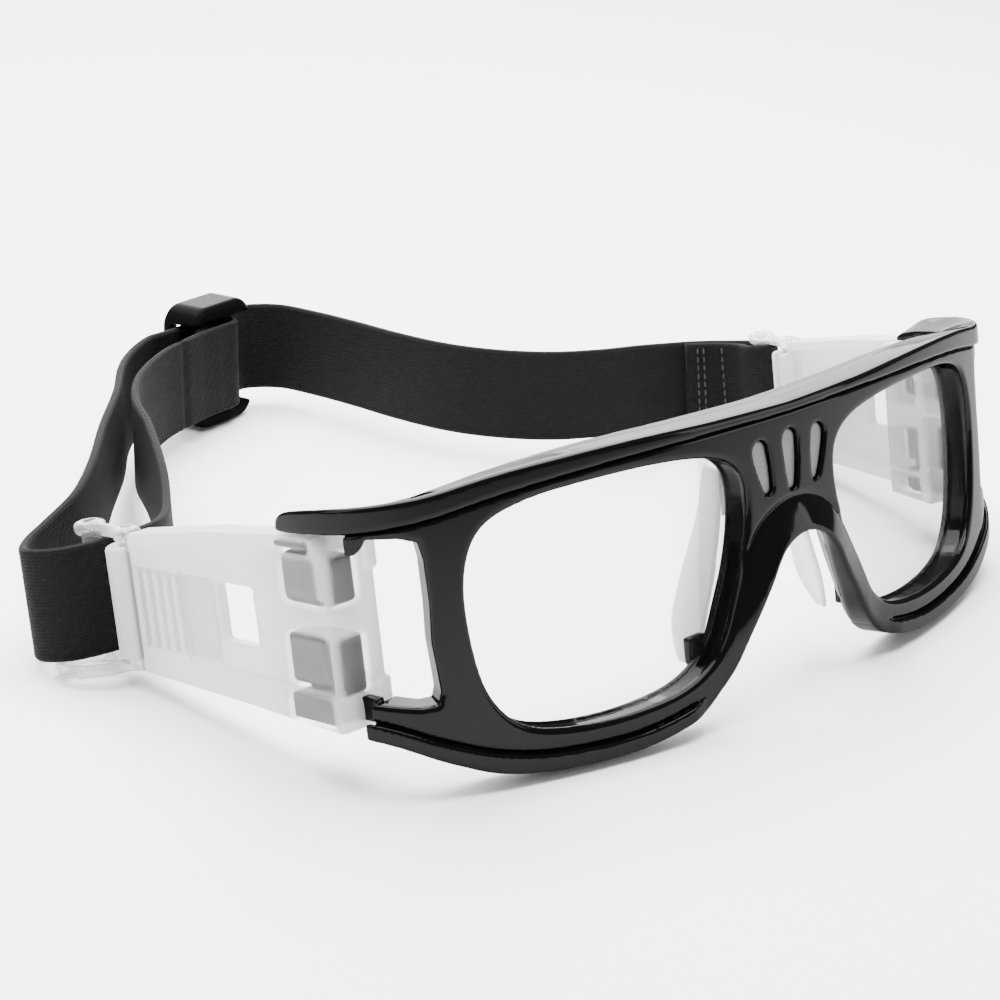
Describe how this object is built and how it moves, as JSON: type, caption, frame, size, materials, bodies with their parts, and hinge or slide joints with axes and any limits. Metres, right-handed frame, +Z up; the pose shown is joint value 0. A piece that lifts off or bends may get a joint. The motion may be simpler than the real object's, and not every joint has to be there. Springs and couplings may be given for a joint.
{
  "type": "sports protective goggles",
  "caption": "Wrap-round sports goggles with a gloss black front, clear lenses, frosted hinged side shields, a soft nose pad and an elastic strap with a sliding adjuster.",
  "frame": {"origin": "middle of the footprint, on the table that the goggles stand on", "axes": "+Z up; the front faces -Y, so +Y runs back along the side shields to the strap; the wearer's left is +X"},
  "size_m": [0.1921, 0.1957, 0.0515],
  "materials": {
    "frame_black": "high-gloss black moulding",
    "lens_clear": "clear polycarbonate",
    "pad_silicone": "translucent milky silicone",
    "inlay_grey": "grey satin inlay",
    "shield_frosted": "translucent frosted soft plastic",
    "core_dark": "dark matte plastic seen through the shield",
    "pin_steel": "bright pin",
    "ring_clear": "clear moulded plastic",
    "slider_black": "satin black moulding",
    "strap_elastic": "ribbed black woven elastic"
  },
  "bodies": {
    "frame": {"front_frame": "frame_black", "lens_right": "lens_clear", "lens_left": "lens_clear", "nose_pad": "pad_silicone", "vent_inlay_right": "inlay_grey", "vent_inlay_centre": "inlay_grey", "vent_inlay_left": "inlay_grey", "strap_main": "strap_elastic", "strap_return_leg": "strap_elastic"},
    "side_right": {"side_shield_right": "shield_frosted", "hinge_core_upper_right": "core_dark", "hinge_core_lower_right": "core_dark", "hinge_pin_upper_right": "pin_steel", "hinge_pin_lower_right": "pin_steel", "strap_side_outer_right": "strap_elastic", "strap_side_inner_right": "strap_elastic"},
    "side_left": {"side_shield_left": "shield_frosted", "hinge_core_upper_left": "core_dark", "hinge_core_lower_left": "core_dark", "hinge_pin_upper_left": "pin_steel", "hinge_pin_lower_left": "pin_steel", "strap_side_left": "strap_elastic"},
    "ring_right": {"strap_ring_right": "ring_clear", "strap_loop_right": "strap_elastic"},
    "ring_left": {"strap_ring_left": "ring_clear", "strap_end_left": "strap_elastic"},
    "strap_slider": {"slider": "slider_black", "strap_sewn_loop": "strap_elastic"}
  },
  "joints": [
    {"name": "side_right_hinge", "type": "hinge", "parent": "frame", "child": "side_right", "pos_m": [-0.0812, -0.06409, 0.02395], "axis": [0, 0.1633, 0.9866], "range_deg": [-18, 18]},
    {"name": "side_left_hinge", "type": "hinge", "parent": "frame", "child": "side_left", "pos_m": [0.0736, -0.06409, 0.02395], "axis": [0, -0.1633, -0.9866], "range_deg": [-34, 2]},
    {"name": "ring_right_swivel", "type": "hinge", "parent": "side_right", "child": "ring_right", "pos_m": [-0.0833, -0.01492, 0.01479], "axis": [0, 0.1633, 0.9866], "range_deg": [-40, 40]},
    {"name": "ring_left_swivel", "type": "hinge", "parent": "side_left", "child": "ring_left", "pos_m": [0.0894, -0.01741, 0.0152], "axis": [0, -0.1633, -0.9866], "range_deg": [-40, 40]},
    {"name": "slider_slide", "type": "slide", "parent": "frame", "child": "strap_slider", "axis": [-0.9781, -0.2079, 0], "range_m": [0, 0.007]}
  ]
}
